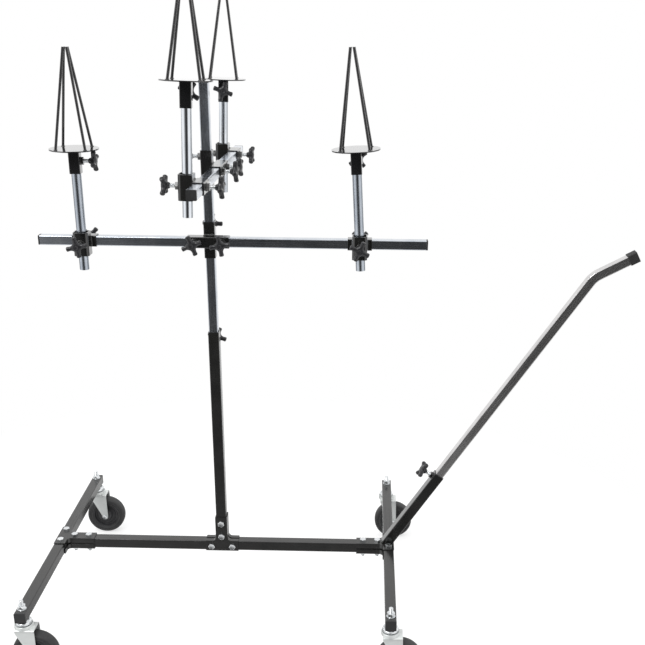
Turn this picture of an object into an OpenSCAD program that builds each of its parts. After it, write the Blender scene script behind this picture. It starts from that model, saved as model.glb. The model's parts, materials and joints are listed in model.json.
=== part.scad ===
// Mobile painting stand for wheel rims: an H-shaped base on four swivel casters, a telescopic mast,
// two adjustable crossbars, four post clamps with posts, four cone-shaped rim holders and a push handle.
// Millimetres, +Z up. The origin is on the floor under the mast axis. +X runs along the base beam
// towards the push handle, and +Y towards the mast lock knob.

/* [Square tube] */
// Outside width of the black square tube
tube = 30; // [29:0.5:31]
// Outside width of the zinc square tube that slides inside the black one
slim = 25; // [24:0.5:25]
// Wall thickness of both tubes
wall = 2; // [1.5:0.1:2]
// Outside corner radius of both tubes
tube_corner = 2.5; // [1.5:0.5:3]

/* [Base] */
// Height of the beam and leg axes above the floor
beam_z = 182; // [180:1:190]
// Distance from the mast axis to the left leg axis
left_leg_x = 483; // [420:1:540]
// Distance from the mast axis to the right leg axis
right_leg_x = 501; // [440:1:560]
// Length of each leg with its end caps
leg_length = 814; // [760:1:880]
// Distance from a leg's end to its caster stem
stem_inset = 24; // [22:1:30]

/* [Joint plates] */
// Thickness of the pressed joint plates
plate_t = 2.5; // [2:0.5:3]
// Length of a joint plate's foot
foot_length = 98; // [90:1:110]
// Distance from the foot's tube axis to the end of the stem
stem_reach = 97; // [92:1:110]
// Depth of the folded lips
lip_depth = 12; // [8:1:13]
// Radius of the inner corners
plate_fillet = 11; // [8:1:14]

/* [Mast] */
// Height of the outer mast tube's top above the floor
outer_mast_top = 858; // [800:1:900]
// Length of the inner mast tube with its cap
inner_mast_length = 850; // [820:1:900]
// Height of the inner mast's top above the floor at rest
inner_mast_top = 1526; // [1515:1:1560]
// Length of a mast clamp's vertical sleeve
mast_sleeve = 98; // [90:1:110]
// Length of a mast clamp's bar sleeve
bar_sleeve = 112; // [104:1:120]

/* [Crossbars] */
// Height of the lower bar's axis above the floor
lower_bar_z = 1118; // [1110:1:1130]
// Left end of the lower bar
lower_bar_left = -451; // [-480:1:-440]
// Right end of the lower bar
lower_bar_right = 582; // [560:1:600]
// Height of the upper bar's axis above the floor
upper_bar_z = 1305; // [1295:1:1315]
// Front end of the upper bar
upper_bar_front = -372; // [-390:1:-365]
// Back end of the upper bar
upper_bar_back = 350; // [340:1:370]
// Turn of the upper clamp and its bar about the mast, taken up by the play in the sleeve
upper_yaw = -1.4; // [-1.6:0.1:1.6]

/* [Posts and rim holders] */
// Places of the two posts along the lower bar
lower_posts = [-328, 402]; // [-450:1:580]
// Places of the two posts along the upper bar
upper_posts = [-260, 262]; // [-370:1:350]
// Outside diameter of a post
post_d = 25; // [24:0.5:25]
// Length of a post
post_length = 312; // [300:1:330]
// How far a post hangs below its clamp's axis at rest
post_drop = 70; // [60:1:80]
// How far each post is lowered from there: left, right, front, back
post_lower = [2, -6, 4, 39]; // [-8:1:50]
// Lean of each post along its bar in degrees, positive towards the bar's far end
post_lean = [0, -2.9, 2.2, 1.1]; // [-3:0.1:3]
// Tilt of each post clamp about its bar in degrees, positive towards the post
clamp_tilt = [0, 0, -1.5, -1.8]; // [-1.8:0.1:1.8]
// Turn of each rim holder on its post in degrees, from square to the bar
holder_turn = [2, -3.5, 4.1, 8]; // [-10:0.1:10]
// Outside width of a rim holder's square sleeve
holder_tube = 28; // [28:0.5:30]
// Diameter of a rim holder's round plate
disc_d = 125; // [120:1:130]
// Thickness of the round plate
disc_t = 3; // [2:0.5:4]
// Height of the rod tips above the round plate
cone_height = 245; // [200:1:260]
// Diameter of a cone rod
rod_d = 7; // [5:0.5:8]

/* [Push handle] */
// Slope of the handle above the floor
handle_slope = 57; // [50:0.5:62]
// Length of the black socket
socket_length = 271; // [240:1:280]
// Length along the slope from the socket's foot to the bend
bend_start = 974; // [900:1:990]
// Turn of the bend towards the grip
bend_turn = 28.5; // [15:0.5:35]
// Length of the straight grip end with its cap
grip_length = 112; // [90:1:130]

/* [Casters] */
// Wheel diameter
wheel_d = 125; // [120:1:125]
// Tread width
wheel_w = 36; // [32:1:36]
// Distance from the swivel axis to the wheel axle
trail = 25; // [20:1:30]

/* [Clamp knobs] */
// Thread diameter of the clamp screws
screw_d = 10; // [8:0.5:10]
// Diameter across a knob's arms
knob_d = 54; // [50:1:55]
// Free screw length between the welded nut and the knob
screw_gap = 13; // [10:1:15]

/* [Hidden] */
$fn = 48;

paint = [0.07, 0.07, 0.075];
zinc = [0.72, 0.75, 0.78];
plastic = [0.05, 0.05, 0.055];
rubber = [0.09, 0.09, 0.09];

slip = 0.05;              // running clearance of round fits
tip_gap = 0.25;           // gap between a clamp screw's tip and the square tube it presses on
cap_t = 4;                // thickness of an end cap's head
cap_plug = 12;            // depth of an end cap's plug
cap_fit = 0.2;            // gap around an end cap's plug

// joint plates and their bolts
lip_gap = 0.2;            // gap between a lip and the tube it hugs
bolt_d = 10;
bolt_af = 17;             // width across the flats of the frame bolts and nuts
bolt_head = 6.4;
bolt_nut = 8;
bolt_tail = 3;            // thread standing past the nut
foot_bolt = 31;           // bolt distance from the joint's centre along the foot
stem_bolts = [34, 77];    // bolt distances from the foot's tube axis along the stem
beam_top = beam_z + tube / 2;
plate_top = beam_top + plate_t;

// clamps
bar_offset = tube;        // the bar sleeve is welded beside the mast sleeve
mast_knob_up = 32;        // mast screw above the bar axis
bar_knob_x = 37;          // bar screws either side of the mast axis
post_wall = 3;
post_box = [40, 36, 62];  // post sleeve: along the bar, across it, and tall
post_box_foot = 32.5;     // the sleeve's lower end below the bar's axis
post_box_r = 9;           // the sleeve's outer corners away from the bar
post_bar_sleeve = 64;
post_shift = (tube + post_box[1]) / 2;
post_offset = tube / 2 + post_wall + post_d / 2 + slip;
nut_af = 17;              // welded nut of a clamp screw
nut_t = 8;
lock_knob_down = 33;      // mast lock screw below the top of the outer mast
handle_knob_down = 14;    // handle screw below the top of the socket

// knob
hub_d = 19;               // the hub's widest point, where the arms begin
hub_neck = 14;            // the hub at the screw
hub_t = 9;                // height of the hub's cone
arm_root = 7;
arm_tip = 5.5;
arm_middle = 4;           // the arms' axes leave the hub this far above its cone
arm_rise = 4;             // an arm's tip leans this far away from the screw

// rim holder
disc_up = post_length - post_drop + 1;    // underside of the round plate above the clamp axis
holder_sleeve = 60;
holder_knob_down = 28.5;
holder_bore = post_d + 0.2;
foot_half = 37;           // half the side of the square on which the rods stand
tip_half = 4.5;

// handle
bend_radius = 60;
bend_overlap = 0.5;       // the grip's straight tube starts this far inside the bend's end
grip_step = 0.02;         // and is this much narrower, so that no faces coincide
handle_foot_x = right_leg_x - 5;
tube_in_socket = 60;      // lower end of the sliding tube above the socket's foot
rubber_cap = 26;
rubber_wall = 2;

// caster
stud_d = 12;
stud_top = beam_top + 26;
stem_nut_af = 19;
fork_t = 2.5;
fork_top = 143;
fork_half = 24;           // half of the fork's outside width
fork_back = -20;          // the fork's top runs from here
fork_front = 33;          // to here, measured from the swivel axis
race_d = 50;
race_floor = 149.8;
race_roof = 155.3;
ball_ring_r = 17;
ball_d = 5.4;
axle_z = wheel_d / 2;
axle_d = 8;
bush_d = 12;
hub_half = 20.5;
tyre_bore = 84;
boss_d = 40;              // the hub's boss

bar_length_lower = lower_bar_right - lower_bar_left;
bar_length_upper = upper_bar_back - upper_bar_front;

// ---------------------------------------------------------------- general shapes

module rounded_square(width, depth, r) {
    square([width - 2 * r, depth], center = true);
    square([width, depth - 2 * r], center = true);
    for (sx = [-1, 1], sy = [-1, 1])
        translate([sx * (width / 2 - r), sy * (depth / 2 - r)]) circle(r);
}

module tube_section(width) {
    difference() {
        rounded_square(width, width, tube_corner);
        square(width - 2 * wall, center = true);
    }
}

// square tube along +Z from the origin
module square_tube(width, length) {
    linear_extrude(length) tube_section(width);
}

module along_x() { rotate([0, 90, 0]) children(); }
module along_y() { rotate([-90, 0, 0]) children(); }

// cylinder centred on the origin that drills through a tube
module drill(d, length) { cylinder(d = d, h = length, center = true); }

module hexagon(af, height) { cylinder(d = af / cos(30), h = height, $fn = 6); }

// end cap: its head starts at the origin and faces +Z, its plug points down the tube
module end_cap(width) {
    linear_extrude(cap_t) rounded_square(width, width, tube_corner);
    plug = width - 2 * wall - 2 * cap_fit;
    translate([0, 0, -cap_plug]) linear_extrude(cap_plug) square(plug, center = true);
}

// ---------------------------------------------------------------- base

module leg(x) {
    body = leg_length - 2 * cap_t;
    translate([x, 0, beam_z]) difference() {
        along_y() translate([0, 0, -body / 2]) square_tube(tube, body);
        for (s = [-1, 1]) {
            translate([0, s * (leg_length / 2 - stem_inset), 0]) drill(stud_d + 0.5, tube + 2);
            translate([0, s * foot_bolt, 0]) drill(bolt_d + 0.5, tube + 2);
        }
    }
}
module left_leg() { color(paint) leg(-left_leg_x); }
module right_leg() { color(paint) leg(right_leg_x); }

module main_beam() {
    from = -left_leg_x + tube / 2;
    to = right_leg_x - tube / 2;
    color(paint) translate([0, 0, beam_z]) difference() {
        translate([from, 0, 0]) along_x() square_tube(tube, to - from);
        for (b = stem_bolts) {
            translate([-left_leg_x + b, 0, 0]) drill(bolt_d + 0.5, tube + 2);
            translate([right_leg_x - b, 0, 0]) drill(bolt_d + 0.5, tube + 2);
        }
        for (s = [-1, 1])
            translate([s * foot_bolt, 0, 0]) along_y() drill(bolt_d + 0.5, tube + 2);
    }
}

module leg_end_caps() {
    color(plastic)
        for (x = [-left_leg_x, right_leg_x], s = [-1, 1])
            translate([x, s * (leg_length / 2 - cap_t), beam_z])
                rotate([-90 * s, 0, 0]) end_cap(tube);
}

// T-shaped plate lying on two tubes that meet: its foot runs along X and its stem along +Y.
// Its inner face is at z = 0 and its lips fold down along the inner edges.
module plate_outline(inset) {
    half = tube / 2 + lip_gap + plate_t - inset;
    r = plate_fillet + inset;
    translate([-foot_length / 2, -tube / 2 - 1]) square([foot_length, half + tube / 2 + 1]);
    translate([-half, 0]) square([2 * half, stem_reach]);
    for (s = [-1, 1])
        difference() {
            translate([s * (half + r / 2), half + r / 2]) square(r, center = true);
            translate([s * (half + r), half + r]) circle(r);
        }
}
module joint_plate() {
    linear_extrude(plate_t) plate_outline(0);
    translate([0, 0, -lip_depth]) linear_extrude(lip_depth) difference() {
        plate_outline(0);
        plate_outline(plate_t);
    }
}
module drilled_plate() {
    difference() {
        joint_plate();
        for (s = [-1, 1]) translate([s * foot_bolt, 0, 0]) drill(bolt_d + 0.5, 4 * plate_t);
        for (b = stem_bolts) translate([0, b, 0]) drill(bolt_d + 0.5, 4 * plate_t);
    }
}
// places its children on both faces of the three joints, stems pointing away from the feet
module at_joints() {
    for (face = [-1, 1]) {
        translate([-left_leg_x, 0, beam_z]) rotate([0, 0, -90]) rotate([0, face < 0 ? 180 : 0, 0])
            translate([0, 0, tube / 2]) children();
        translate([right_leg_x, 0, beam_z]) rotate([0, 0, 90]) rotate([0, face < 0 ? 180 : 0, 0])
            translate([0, 0, tube / 2]) children();
        translate([0, 0, beam_z]) rotate([90, 0, 0]) rotate([0, face < 0 ? 180 : 0, 0])
            translate([0, 0, tube / 2]) children();
    }
}
module joint_plates() { color(paint) at_joints() drilled_plate(); }

// bolt along -Z with its head above z = 0, and its nut below the gripped thickness
module bolt_and_nut(grip) {
    hexagon(bolt_af, bolt_head);
    translate([0, 0, -grip - bolt_nut - bolt_tail]) cylinder(d = bolt_d, h = grip + bolt_nut + bolt_tail);
    translate([0, 0, -grip - bolt_nut]) difference() {
        hexagon(bolt_af, bolt_nut);
        translate([0, 0, -1]) cylinder(d = bolt_d + 2 * slip, h = bolt_nut + 2);
    }
}
module joint_bolts() {
    grip = tube + 2 * plate_t;
    for (s = [-1, 1]) translate([s * foot_bolt, 0, 0]) bolt_and_nut(grip);
    for (b = stem_bolts) translate([0, b, 0]) bolt_and_nut(grip);
}
module frame_bolts() {
    color(zinc) {
        translate([-left_leg_x, 0, plate_top]) rotate([0, 0, -90]) joint_bolts();
        translate([right_leg_x, 0, plate_top]) rotate([0, 0, 90]) joint_bolts();
        translate([0, -tube / 2 - plate_t, beam_z]) rotate([90, 0, 0]) joint_bolts();
    }
}

// welded nut of a clamp screw, on a face at z = 0 and standing up +Z
module welded_nut() {
    translate([0, 0, -0.5]) difference() {
        hexagon(nut_af, nut_t + 0.5);
        translate([0, 0, -1]) cylinder(d = screw_d + 2 * slip, h = nut_t + 3);
    }
}
// hole for a clamp screw through the wall under its welded nut
module screw_hole(depth) {
    translate([0, 0, -depth]) cylinder(d = screw_d + 2 * slip, h = depth + 2);
}

module outer_mast() {
    color(paint) difference() {
        union() {
            translate([0, 0, beam_top]) square_tube(tube, outer_mast_top - beam_top);
            translate([0, tube / 2, outer_mast_top - lock_knob_down]) along_y() welded_nut();
        }
        for (b = stem_bolts) translate([0, 0, beam_z + b]) along_y() drill(bolt_d + 0.5, tube + 2);
        translate([0, tube / 2, outer_mast_top - lock_knob_down]) along_y() screw_hole(wall + 1);
    }
}

// ---------------------------------------------------------------- push handle

// places its children with +Z up the handle's slope, origin at the socket's foot
module on_slope() {
    translate([handle_foot_x, 0, plate_top]) rotate([0, 90 - handle_slope, 0]) children();
}
// places its children at the handle's clamp screw, +Z pointing outwards
module at_handle_screw() {
    on_slope() translate([-tube / 2, 0, socket_length - handle_knob_down]) rotate([0, -90, 0]) children();
}
module handle_socket() {
    color(paint) difference() {
        union() {
            on_slope() translate([0, 0, -tube]) square_tube(tube, socket_length + tube);
            at_handle_screw() welded_nut();
        }
        at_handle_screw() screw_hole(wall + 1);
        translate([handle_foot_x - 2 * tube, -tube, plate_top - 2 * tube])
            cube([4 * tube, 2 * tube, 2 * tube]);
    }
}
// places its children at the end of the bend, +Z along the grip
module on_grip() {
    on_slope() translate([bend_radius, 0, bend_start]) rotate([0, bend_turn, 0])
        translate([-bend_radius, 0, 0]) children();
}
module handle_tube() {
    straight = bend_start - tube_in_socket;
    color(zinc) on_slope() translate([bend_radius, 0, bend_start]) rotate([90, 0, 180]) {
        rotate_extrude(angle = bend_turn, $fn = 96) translate([bend_radius, 0]) tube_section(slim);
        translate([bend_radius, -straight, 0]) along_y() square_tube(slim, straight);
        rotate([0, 0, bend_turn]) translate([bend_radius, -bend_overlap, 0])
            along_y() square_tube(slim - grip_step, grip_length - rubber_wall + bend_overlap);
    }
}
module handle_cap() {
    outside = slim + 2 * rubber_wall + 2 * slip;
    color(plastic) on_grip() translate([0, 0, grip_length - rubber_cap]) difference() {
        linear_extrude(rubber_cap) rounded_square(outside, outside, tube_corner + 1);
        translate([0, 0, -rubber_wall]) linear_extrude(rubber_cap)
            rounded_square(slim + 2 * slip, slim + 2 * slip, tube_corner);
    }
}

// ---------------------------------------------------------------- casters

// places its children on the swivel axis of one caster, z measured from the floor
module at_caster(side_x, side_y) {
    x = side_x < 0 ? -left_leg_x : right_leg_x;
    translate([x, side_y * (leg_length / 2 - stem_inset), 0]) children();
}
module caster_stem() {
    // race plate and stud, with a riveted end under the fork
    translate([0, 0, race_roof]) cylinder(d = race_d - 6, h = beam_z - tube / 2 - race_roof);
    translate([0, 0, fork_top - fork_t - 0.2]) cylinder(d = stud_d, h = stud_top - fork_top + fork_t + 0.2);
    translate([0, 0, fork_top - fork_t - 3.2]) cylinder(d = stud_d + 8, h = 3);
    // washer and nut on the leg, clear of the stud
    translate([0, 0, beam_top]) difference() {
        union() {
            cylinder(d = 24, h = 2);
            translate([0, 0, 2 + slip]) hexagon(stem_nut_af, 10);
        }
        translate([0, 0, -1]) cylinder(d = stud_d + 2 * slip, h = 14);
    }
}
module caster_stems() {
    color(zinc) for (sx = [-1, 1], sy = [-1, 1]) at_caster(sx, sy) caster_stem();
}
module swivel_bearings() {
    color(zinc) for (sx = [-1, 1], sy = [-1, 1]) at_caster(sx, sy)
        translate([0, 0, (race_floor + race_roof) / 2]) rotate_extrude()
            translate([ball_ring_r, 0]) circle(d = ball_d);
}

// points along an arc from one angle to another
function arc(centre, r, from, to, steps = 16) =
    [for (i = [0:steps]) let (a = from + (to - from) * i / steps) centre + r * [cos(a), sin(a)]];
// angle at which a circle's radius meets the tangent that passes through p
function tangent_angle(p, centre, r) =
    atan2(p[1] - centre[1], p[0] - centre[0]) + acos(r / norm(p - centre));

// side plate in the XZ plane: straight edges that narrow to a round end at the axle
module fork_side() {
    end_r = 9.5;
    axle = [trail, axle_z];
    shoulder = [-17, 113];
    difference() {
        polygon(concat(
            [shoulder, [fork_back, fork_top], [fork_front, fork_top]],
            arc(axle, end_r, 0, tangent_angle(shoulder, axle, end_r) - 360)
        ));
        translate(axle) circle(d = axle_d + 2 * slip);
    }
}
module fork() {
    race_r = race_d / 2;
    rim_t = 2.5;
    rim_top = race_floor + 3;
    difference() {
        union() {
            for (s = [-1, 1])
                translate([0, s * (fork_half - fork_t / 2) + fork_t / 2, 0])
                    rotate([90, 0, 0]) linear_extrude(fork_t) fork_side();
            translate([fork_back, -fork_half, fork_top - fork_t])
                cube([fork_front - fork_back, 2 * fork_half, fork_t]);
            rotate_extrude() polygon([
                [0, fork_top - 1], [race_r, fork_top - 1], [race_r, rim_top],
                [race_r - rim_t, rim_top], [race_r - rim_t, race_floor], [0, race_floor]
            ]);
        }
        translate([0, 0, fork_top - fork_t - 1]) cylinder(d = stud_d + 2 * slip, h = 40);
    }
    axle_bolt();
}
// axle bolt with its head at the front, a nut at the back and a spacer bush between the fork sides
module axle_bolt() {
    head = 5;
    nut = 6.5;
    tail = 2.5;
    seat = fork_half + slip;
    bush = 2 * (fork_half - fork_t - slip);
    translate([trail, 0, axle_z]) rotate([90, 0, 0]) {
        translate([0, 0, seat]) hexagon(13, head);
        translate([0, 0, -seat - nut - tail]) cylinder(d = axle_d, h = 2 * seat + nut + tail);
        translate([0, 0, -seat - nut]) difference() {
            hexagon(13, nut);
            translate([0, 0, -1]) cylinder(d = axle_d + 2 * slip, h = nut + 2);
        }
        difference() {
            cylinder(d = bush_d, h = bush, center = true);
            cylinder(d = axle_d + 2 * slip, h = bush + 2, center = true);
        }
    }
}
module fork_front_left() { color(zinc) at_caster(-1, -1) fork(); }
module fork_front_right() { color(zinc) at_caster(1, -1) fork(); }
module fork_back_left() { color(zinc) at_caster(-1, 1) fork(); }
module fork_back_right() { color(zinc) at_caster(1, 1) fork(); }

// wheel: a rubber tyre on a plastic hub, turned about Y
module wheel() {
    r = wheel_d / 2;
    w = wheel_w / 2;
    tyre_r = tyre_bore / 2;
    translate([trail, 0, axle_z]) rotate([90, 0, 0]) {
        color(rubber) rotate_extrude($fn = 96) polygon([
            [tyre_r + slip, -w + 3], [tyre_r + 5, -w + 3], [tyre_r + 8, -w], [r - 8, -w], [r - 2, -w + 5],
            [r, -w + 10], [r, w - 10], [r - 2, w - 5], [r - 8, w], [tyre_r + 8, w],
            [tyre_r + 5, w - 3], [tyre_r + slip, w - 3]
        ]);
        color(plastic) rotate_extrude($fn = 96) polygon([
            [bush_d / 2 + slip, -hub_half], [boss_d / 2 - 6, -hub_half], [boss_d / 2, -hub_half + 6],
            [boss_d / 2 + 4, -7], [tyre_r - 5, -7], [tyre_r - 3, -w + 5], [tyre_r, -w + 5],
            [tyre_r, w - 5], [tyre_r - 3, w - 5], [tyre_r - 5, 7], [boss_d / 2 + 4, 7],
            [boss_d / 2, hub_half - 6], [boss_d / 2 - 6, hub_half], [bush_d / 2 + slip, hub_half]
        ]);
    }
}
module wheel_front_left() { at_caster(-1, -1) wheel(); }
module wheel_front_right() { at_caster(1, -1) wheel(); }
module wheel_back_left() { at_caster(-1, 1) wheel(); }
module wheel_back_right() { at_caster(1, 1) wheel(); }

// ---------------------------------------------------------------- mast and clamps

module inner_mast() {
    body = inner_mast_length - cap_t;
    color(zinc) translate([0, 0, inner_mast_top - inner_mast_length]) square_tube(slim, body);
}
module mast_cap() { color(plastic) translate([0, 0, inner_mast_top - cap_t]) end_cap(slim); }

// Mast clamp centred on the mast axis at the bar's height: the bar sleeve is welded to the -Y face,
// the mast screw is on the +Y face and the bar screws are on the bar sleeve's outer face.
module at_mast_screw() { translate([0, tube / 2, mast_knob_up]) along_y() children(); }
module at_bar_screw(side) {
    translate([side * bar_knob_x, -bar_offset - tube / 2, 0]) rotate([90, 0, 0]) children();
}
module mast_clamp() {
    color(paint) difference() {
        union() {
            translate([0, 0, -mast_sleeve / 2]) square_tube(tube, mast_sleeve);
            translate([-bar_sleeve / 2, -bar_offset, 0]) along_x() square_tube(tube, bar_sleeve);
            // weld bead along the seam between the two sleeves
            for (s = [-1, 1]) translate([-tube / 2 + 1, -tube / 2, s * tube / 2]) along_x()
                cylinder(d = 4, h = tube - 2);
            at_mast_screw() welded_nut();
            for (side = [-1, 1]) at_bar_screw(side) welded_nut();
        }
        at_mast_screw() screw_hole(wall + 1);
        for (side = [-1, 1]) at_bar_screw(side) screw_hole(wall + 1);
        // the bores stay clear of the beads
        translate([0, 0, -mast_sleeve]) linear_extrude(2 * mast_sleeve) square(tube - 2 * wall, center = true);
        translate([-bar_sleeve, -bar_offset, 0]) along_x() linear_extrude(2 * bar_sleeve)
            square(tube - 2 * wall, center = true);
    }
}
module at_lower_clamp() { translate([0, 0, lower_bar_z]) children(); }
module at_upper_clamp() { translate([0, 0, upper_bar_z]) rotate([0, 0, 90 + upper_yaw]) children(); }
module lower_mast_clamp() { at_lower_clamp() mast_clamp(); }
module upper_mast_clamp() { at_upper_clamp() mast_clamp(); }

// ---------------------------------------------------------------- crossbars

module crossbar(length) {
    translate([0, 0, cap_t]) square_tube(slim, length - 2 * cap_t);
}
module crossbar_caps(length) {
    translate([0, 0, length - cap_t]) end_cap(slim);
    translate([0, 0, cap_t]) rotate([180, 0, 0]) end_cap(slim);
}
module at_lower_bar() { translate([lower_bar_left, -bar_offset, lower_bar_z]) along_x() children(); }
module at_upper_bar() {
    at_upper_clamp() translate([upper_bar_front, -bar_offset, 0]) along_x() children();
}
module lower_bar() { color(zinc) at_lower_bar() crossbar(bar_length_lower); }
module lower_bar_caps() { color(plastic) at_lower_bar() crossbar_caps(bar_length_lower); }
module upper_bar() { color(zinc) at_upper_bar() crossbar(bar_length_upper); }
module upper_bar_caps() { color(plastic) at_upper_bar() crossbar_caps(bar_length_upper); }

// ---------------------------------------------------------------- post clamps and posts

// Post clamp centred on the bar axis, bar along X: the post sleeve is welded to the -Y face.
module at_post_screw() {
    translate([0, -post_shift - post_box[1] / 2, 0]) rotate([90, 0, 0]) children();
}
module at_clamp_bar_screw() { translate([0, tube / 2, 0]) along_y() children(); }
// rectangle whose two corners away from the bar are rounded, as a bent strip's are
module post_sleeve_outline() {
    half = [post_box[0] / 2, post_box[1] / 2];
    translate([-half[0] + post_box_r, -half[1]]) square([post_box[0] - 2 * post_box_r, post_box[1]]);
    translate([-half[0], -half[1] + post_box_r]) square([post_box[0], post_box[1] - post_box_r]);
    for (s = [-1, 1]) translate([s * (half[0] - post_box_r), -half[1] + post_box_r]) circle(post_box_r);
}
module post_clamp() {
    inner = [post_box[0] - 2 * post_wall, post_box[1] - 2 * post_wall];
    color(paint) difference() {
        union() {
            translate([-post_bar_sleeve / 2, 0, 0]) along_x() square_tube(tube, post_bar_sleeve);
            translate([0, -post_shift, -post_box_foot]) linear_extrude(post_box[2]) difference() {
                post_sleeve_outline();
                rounded_square(inner[0], inner[1], post_wall);
            }
            at_post_screw() welded_nut();
            at_clamp_bar_screw() welded_nut();
        }
        at_post_screw() screw_hole(post_wall + 1);
        at_clamp_bar_screw() screw_hole(wall + 1);
    }
}
SIDES = ["left", "right", "front", "back"];
function side(name) = search([name], SIDES)[0];

module at_post_clamp(name) {
    i = side(name);
    tilt = [clamp_tilt[i], 0, 0];
    if (i < 2)
        translate([lower_posts[i], -bar_offset, lower_bar_z]) rotate(tilt) children();
    else
        at_upper_clamp() translate([upper_posts[i - 2], -bar_offset, 0]) rotate([0, 0, 180])
            rotate(tilt) children();
}
module left_post_clamp() { at_post_clamp("left") post_clamp(); }
module right_post_clamp() { at_post_clamp("right") post_clamp(); }
module front_post_clamp() { at_post_clamp("front") post_clamp(); }
module back_post_clamp() { at_post_clamp("back") post_clamp(); }

// places its children on the post's axis, at the height of the bar when the post isn't lowered
module at_post(name) {
    i = side(name);
    towards = i < 2 ? 1 : -1;
    at_post_clamp(name) translate([0, -post_offset, 0]) rotate([0, towards * post_lean[i], 0])
        translate([0, 0, -post_lower[i]]) children();
}
module post() {
    color(zinc) translate([0, 0, -post_drop]) difference() {
        cylinder(d = post_d, h = post_length);
        translate([0, 0, -1]) cylinder(d = post_d - 2 * wall, h = post_length + 2);
    }
}
module left_post() { at_post("left") post(); }
module right_post() { at_post("right") post(); }
module front_post() { at_post("front") post(); }
module back_post() { at_post("back") post(); }

// ---------------------------------------------------------------- rim holders

// rim holder on the post's axis with its clamp screw on the +X side
module at_holder_screw() {
    translate([holder_tube / 2, 0, disc_up - holder_knob_down]) along_x() children();
}
module rod(sx, sy) {
    run = (foot_half - tip_half) * sqrt(2);
    lean = atan(run / cone_height);
    length = norm([run, cone_height]);
    translate([sx * foot_half, sy * foot_half, disc_up + disc_t])
        rotate([0, 0, atan2(-sy, -sx)]) rotate([0, lean, 0])
            translate([0, 0, -5]) cylinder(d = rod_d, h = length + 10);
}
module rim_holder() {
    color(paint) {
        difference() {
            union() {
                translate([0, 0, disc_up - holder_sleeve]) linear_extrude(holder_sleeve) difference() {
                    rounded_square(holder_tube, holder_tube, tube_corner);
                    circle(d = holder_bore);
                }
                translate([0, 0, disc_up]) cylinder(d = disc_d, h = disc_t, $fn = 96);
                at_holder_screw() welded_nut();
            }
            at_holder_screw() screw_hole(wall + 1);
        }
        // four rods, cut level at the plate and at their tips
        intersection() {
            for (sx = [-1, 1], sy = [-1, 1]) rod(sx, sy);
            translate([0, 0, disc_up + disc_t - 0.5]) cylinder(d = disc_d, h = cone_height + 0.5);
        }
    }
}
module at_holder(name) {
    i = side(name);
    facing = [0, 90, 180, 0];
    at_post(name) rotate([0, 0, facing[i] + holder_turn[i]]) children();
}
module left_rim_holder() { at_holder("left") rim_holder(); }
module right_rim_holder() { at_holder("right") rim_holder(); }
module front_rim_holder() { at_holder("front") rim_holder(); }
module back_rim_holder() { at_holder("back") rim_holder(); }

// ---------------------------------------------------------------- clamp screws with star knobs

// Star knob moulded round its screw. The screw presses at `reach` below the welded nut's seat.
module knob(reach, turn) {
    base = nut_t + screw_gap;
    color(zinc) translate([0, 0, -reach]) cylinder(d = screw_d, h = reach + base + 1);
    color(plastic) rotate([0, 0, turn]) {
        translate([0, 0, base]) cylinder(d1 = hub_neck, d2 = hub_d, h = hub_t);
        translate([0, 0, base + hub_t]) cylinder(d1 = hub_d, d2 = hub_d - 3, h = 11);
        for (a = [0, 90, 180, 270]) rotate([0, 0, a]) arm(base + hub_t + arm_middle);
    }
}
module arm(middle) {
    reach = knob_d / 2 - arm_tip;
    lean = atan(arm_rise / reach);
    translate([0, 0, middle]) rotate([0, 90 - lean, 0]) {
        cylinder(r1 = arm_root, r2 = arm_tip, h = reach / cos(lean));
        translate([0, 0, reach / cos(lean)]) sphere(arm_tip);
    }
}

slim_gap = (tube - slim) / 2;             // from the face of a black tube to the zinc tube inside it
tip_in_tube = slim_gap - tip_gap;
tip_in_holder = (holder_tube - post_d) / 2 - slip;
tip_at_post = post_box[1] - post_wall - post_d - 2 * slip;

module knob_mast_lock() {
    translate([0, tube / 2, outer_mast_top - lock_knob_down]) along_y() knob(tip_in_tube, 20);
}
module knob_handle() { at_handle_screw() knob(tip_in_tube, 62); }
module knob_lower_mast() { at_lower_clamp() at_mast_screw() knob(tip_in_tube, 3); }
module knob_lower_bar_a() { at_lower_clamp() at_bar_screw(-1) knob(tip_in_tube, 22); }
module knob_lower_bar_b() { at_lower_clamp() at_bar_screw(1) knob(tip_in_tube, 10); }
module knob_upper_mast() { at_upper_clamp() at_mast_screw() knob(tip_in_tube, 40); }
module knob_upper_bar_a() { at_upper_clamp() at_bar_screw(-1) knob(tip_in_tube, 8); }
module knob_upper_bar_b() { at_upper_clamp() at_bar_screw(1) knob(tip_in_tube, 30); }
module knob_left_post() { at_post_clamp("left") at_post_screw() knob(tip_at_post, 12); }
module knob_right_post() { at_post_clamp("right") at_post_screw() knob(tip_at_post, 65); }
module knob_front_post() { at_post_clamp("front") at_post_screw() knob(tip_at_post, 45); }
module knob_back_post() { at_post_clamp("back") at_post_screw() knob(tip_at_post, 50); }
module knob_left_bar() { at_post_clamp("left") at_clamp_bar_screw() knob(tip_in_tube, 42); }
module knob_right_bar() { at_post_clamp("right") at_clamp_bar_screw() knob(tip_in_tube, 45); }
module knob_front_bar() { at_post_clamp("front") at_clamp_bar_screw() knob(tip_in_tube, 10); }
module knob_back_bar() { at_post_clamp("back") at_clamp_bar_screw() knob(tip_in_tube, 45); }
module knob_left_holder() { at_holder("left") at_holder_screw() knob(tip_in_holder, 20); }
module knob_right_holder() { at_holder("right") at_holder_screw() knob(tip_in_holder, 55); }
module knob_front_holder() { at_holder("front") at_holder_screw() knob(tip_in_holder, 30); }
module knob_back_holder() { at_holder("back") at_holder_screw() knob(tip_in_holder, 72); }

// ---------------------------------------------------------------- nodes

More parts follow.
